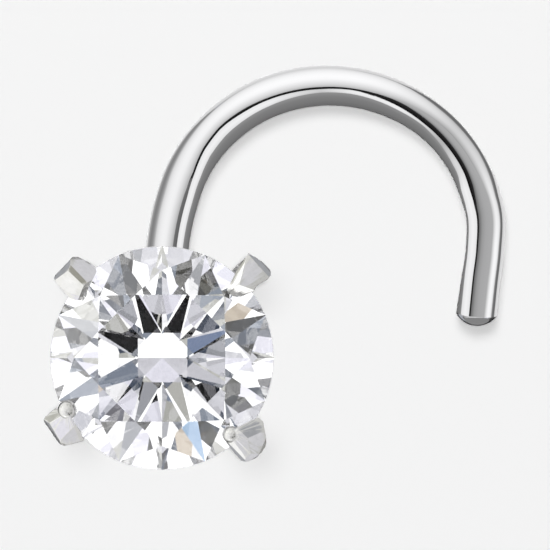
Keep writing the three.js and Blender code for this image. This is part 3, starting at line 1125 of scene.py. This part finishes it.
class NOSESCREW_OT_cup(bpy.types.Operator):
    """Adds the cup that holds the claws and post, its solder and the gallery ring"""

    bl_idname = "nosescrew.cup"
    bl_label = "Cup and gallery"

    def execute(self, context):
        look = context.scene.nose_screw_look
        finish = cast_gold(look)
        half, sides = look.gallery_wire / 2 / MM, 20
        turns = [2 * math.pi * k / sides for k in range(sides)]
        gallery = [
            (GALLERY_REACH + half * math.cos(t), GALLERY_HEIGHT + half * math.sin(t)) for t in turns
        ]
        for name, outline in (("cup", CUP), ("solder_fillet", SOLDER), ("gallery_ring", gallery)):
            made = new_object(turned_mesh(name, outline), finish, smooth_deg=40)
            at_the_girdle(made)
            wear_as_metal(made)
        return {"FINISHED"}


class NOSESCREW_OT_stone(bpy.types.Operator):
    """Gives the solid stone its cut and polished diamond"""

    bl_idname = "nosescrew.stone"
    bl_label = "Stone"

    def execute(self, context):
        stone = frame["nodes"]["stone"]
        stone.data.materials.clear()
        stone.data.materials.append(cut_diamond(context.scene.nose_screw_look))
        return {"FINISHED"}


class NOSESCREW_OT_stage(bpy.types.Operator):
    """Adds the paper ground, the lamps, the cards and the camera"""

    bl_idname = "nosescrew.stage"
    bl_label = "Stage"

    def execute(self, context):
        look = context.scene.nose_screw_look
        self.lay_ground(look)
        self.hang_cards(look)
        self.light(context.scene, look)
        self.place_camera(context.scene)
        return {"FINISHED"}

    def lay_ground(self, look):
        span = 400
        corners = [(-span, -span, 0), (span, -span, 0), (span, span, 0), (-span, span, 0)]
        ground = new_object(new_mesh("ground", corners, [(0, 1, 2, 3)]), paper(look))
        ground.visible_glossy = ground.visible_transmission = False

    def hang_cards(self, look):
        finish = glowing_card()
        for name, card in WIRE_CARDS.items():
            mesh = wire_card_mesh(name, card["rows"], card["glow"])
            hide_but(new_object(mesh, finish), reflections=True)
        tip = Vector(hook_knots()[-1][:3])
        for mesh in (
            panel_dome_mesh("metal_dome", METAL_LOWEST, metal_panel),
            round_cards_mesh("metal_cards", CARDS_REACH, face_cards()),
            round_cards_mesh("tip_card", TIP_CARD_REACH, (TIP_CARD,), tip),
            round_cards_mesh("lens_flag", LENS_FLAG_REACH, (LENS_FLAG,)),
        ):
            hide_but(new_object(mesh, finish), reflections=True)
        for mesh in (
            panel_dome_mesh("stone_dome", STONE_LOWEST, stone_panel),
            round_cards_mesh("stone_cards", CARDS_REACH, ring_cards()),
        ):
            hide_but(new_object(mesh, finish), refractions=True)
        # the window's shade is the hook's alone, for the post's would show beside the stone
        hook = [place for place in wire_line() if place[1] > POST_Y + HOOK_SHADE_FROM]
        mesh = wire_mesh("hook_flag", hook, look.tip_dome / MM, 24)
        hide_but(new_object(mesh, finish), shade=True)

    def light(self, scene, look):
        scene.world = bpy.data.worlds.new("studio")
        scene.world.use_nodes = True
        background = scene.world.node_tree.nodes["Background"]
        background.inputs["Color"].default_value = linear(look.ground_hex)
        seen = scene.world.cycles_visibility
        seen.diffuse = seen.glossy = seen.transmission = False
        # each share of the ground's light is a share of pi, which lights white paper to its own colour
        overhead_share = 1 - look.window_share - look.fill_share
        hang_lamp("overhead", "SUN", CAMERA - HEAD, energy=math.pi * overhead_share, angle=math.radians(1))
        hang_lamp(
            "fill",
            "SUN",
            FILL_FROM,
            ("claw", "screw_wire"),
            energy=math.pi * look.fill_share,
            angle=math.radians(5),
        )
        # the window's light falls aslant, so that the paper takes only this share of it
        falls = WINDOW_FROM.z / WINDOW_FROM.length
        hang_lamp(
            "window",
            "AREA",
            WINDOW_FROM,
            "hook_flag",
            shape="DISK",
            size=WINDOW_WIDTH * MM,
            energy=math.pi**2 * look.window_share * (WINDOW_FROM.length * MM) ** 2 / falls,
        )

    def place_camera(self, scene):
        camera = bpy.data.objects.new("camera", bpy.data.cameras.new("camera"))
        scene.collection.objects.link(camera)
        camera.location = CAMERA * MM
        camera.data.lens = LENS_MM
        camera.data.sensor_width = 36
        camera.data.clip_start, camera.data.clip_end = 0.01, 10
        scene.camera = camera
        scene.view_settings.view_transform = "Standard"
        scene.view_settings.look = "None"
        scene.cycles.max_bounces = 24
        scene.cycles.glossy_bounces = 16
        scene.cycles.transmission_bounces = 20
        scene.cycles.caustics_reflective = scene.cycles.caustics_refractive = False


STEPS = ("wire", "claws", "cup", "stone", "stage")


class NOSESCREW_PT_panel(bpy.types.Panel):
    """Lists the nose screw's sizes and colours, and the steps that make it"""

    bl_idname = "NOSESCREW_PT_panel"
    bl_label = "Nose screw"
    bl_space_type = "VIEW_3D"
    bl_region_type = "UI"
    bl_category = "Nose screw"

    def draw(self, context):
        look = context.scene.nose_screw_look
        for name in NoseScrewLook.__annotations__:
            self.layout.prop(look, name)
        for step in STEPS:
            self.layout.operator("nosescrew." + step)


CLASSES = (
    NoseScrewLook,
    NOSESCREW_OT_wire,
    NOSESCREW_OT_claws,
    NOSESCREW_OT_cup,
    NOSESCREW_OT_stone,
    NOSESCREW_OT_stage,
    NOSESCREW_PT_panel,
)


def register():
    for made in CLASSES:
        bpy.utils.register_class(made)
    bpy.types.Scene.nose_screw_look = bpy.props.PointerProperty(type=NoseScrewLook)


def unregister():
    del bpy.types.Scene.nose_screw_look
    for made in reversed(CLASSES):
        bpy.utils.unregister_class(made)


def main():
    register()
    for step in STEPS:
        if getattr(bpy.ops.nosescrew, step)() != {"FINISHED"}:
            raise RuntimeError(f"the {step} step did not finish")


if __name__ == "__main__":
    main()
